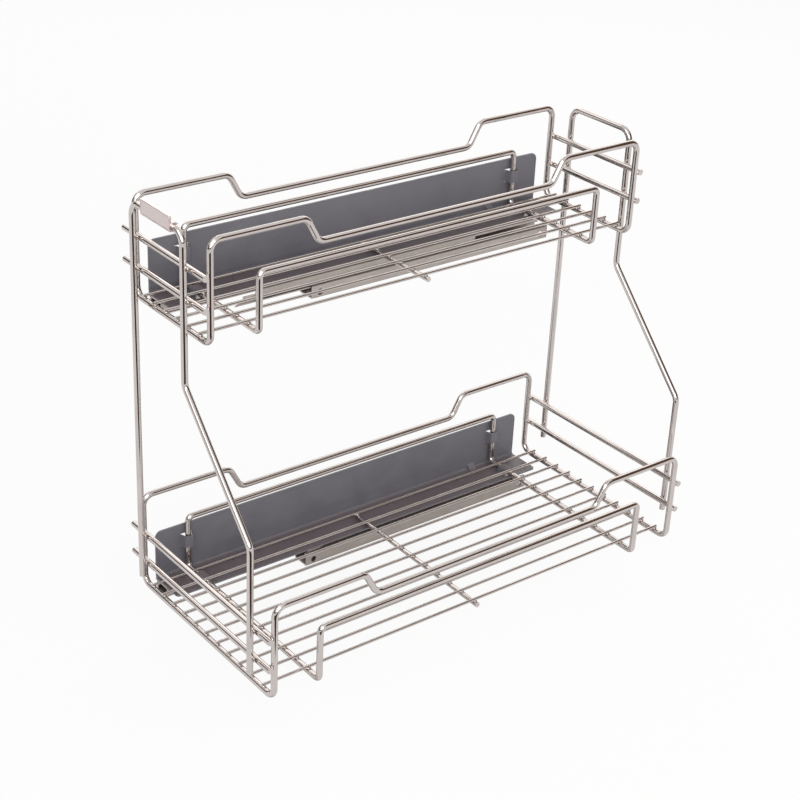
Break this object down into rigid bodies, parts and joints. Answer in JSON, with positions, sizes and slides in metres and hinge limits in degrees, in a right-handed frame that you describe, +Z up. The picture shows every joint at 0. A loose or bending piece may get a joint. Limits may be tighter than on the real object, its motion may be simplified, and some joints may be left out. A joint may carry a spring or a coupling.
{
  "type": "pull-out wire rack",
  "caption": "Pull-out cabinet rack: a narrow chromed wire basket above a wider one, tied by bent end frames and carried on telescopic rails screwed to the side wall.",
  "frame": {"origin": "centre of the four wall screws, on the cabinet wall's face", "axes": "+X towards the back of the cabinet, +Y into the wall that carries the rails, +Z up; the rack pulls out along -X"},
  "size_m": [0.5118, 0.238, 0.4515],
  "materials": {
    "chrome_wire": "bright chrome plating",
    "grey_paint": "satin grey paint",
    "zinc_steel": "zinc plated",
    "nylon": "moulded nylon",
    "name_plate": "satin, blank",
    "rivet_steel": "plated steel"
  },
  "bodies": {
    "wall_rails": {"lower_fixed_rail": "zinc_steel", "lower_fixed_glide": "nylon", "upper_fixed_rail": "zinc_steel", "upper_fixed_glide": "nylon"},
    "rack": {"lower_outer_hoop": "chrome_wire", "lower_inner_hoop": "chrome_wire", "lower_floor_wire_01": "chrome_wire", "lower_floor_wire_02": "chrome_wire", "lower_floor_wire_03": "chrome_wire", "lower_floor_wire_04": "chrome_wire", "lower_floor_wire_05": "chrome_wire", "lower_floor_wire_06": "chrome_wire", "lower_floor_wire_07": "chrome_wire", "lower_floor_wire_08": "chrome_wire", "lower_floor_wire_09": "chrome_wire", "lower_floor_wire_10": "chrome_wire", "lower_floor_wire_11": "chrome_wire", "lower_cross_wire": "chrome_wire", "lower_door_rail_high": "chrome_wire", "lower_door_rail_low": "chrome_wire", "lower_back_rail_high": "chrome_wire", "lower_back_rail_low": "chrome_wire", "lower_carrier": "grey_paint", "lower_top_rail": "zinc_steel", "lower_rivets": "rivet_steel", "lower_top_back_glide": "nylon", "upper_outer_hoop": "chrome_wire", "upper_inner_hoop": "chrome_wire", "upper_floor_wire_01": "chrome_wire", "upper_floor_wire_02": "chrome_wire", "upper_floor_wire_03": "chrome_wire", "upper_floor_wire_04": "chrome_wire", "upper_floor_wire_05": "chrome_wire", "upper_floor_wire_06": "chrome_wire", "upper_cross_wire": "chrome_wire", "upper_door_rail_high": "chrome_wire", "upper_door_rail_low": "chrome_wire", "upper_back_rail_high": "chrome_wire", "upper_back_rail_low": "chrome_wire", "upper_carrier": "grey_paint", "upper_top_rail": "zinc_steel", "upper_rivets": "rivet_steel", "upper_top_back_glide": "nylon", "door_end_frame": "chrome_wire", "back_end_frame": "chrome_wire", "name_plate": "name_plate"},
    "lower_middle": {"lower_middle_rail": "zinc_steel", "lower_middle_door_glide": "nylon", "lower_middle_back_glide": "nylon"},
    "upper_middle": {"upper_middle_rail": "zinc_steel", "upper_middle_door_glide": "nylon", "upper_middle_back_glide": "nylon"}
  },
  "joints": [
    {"name": "rack_slide", "type": "slide", "parent": "wall_rails", "child": "rack", "axis": [-1, 0, 0], "range_m": [0, 0.28]},
    {"name": "lower_middle_slide", "type": "slide", "parent": "wall_rails", "child": "lower_middle", "axis": [-1, 0, 0], "range_m": [0, 0.14]},
    {"name": "upper_middle_slide", "type": "slide", "parent": "wall_rails", "child": "upper_middle", "axis": [-1, 0, 0], "range_m": [0, 0.14]}
  ],
  "couplings": [
    {"joint": "lower_middle_slide", "follows": "rack_slide", "ratio": 0.5},
    {"joint": "upper_middle_slide", "follows": "rack_slide", "ratio": 0.5}
  ]
}
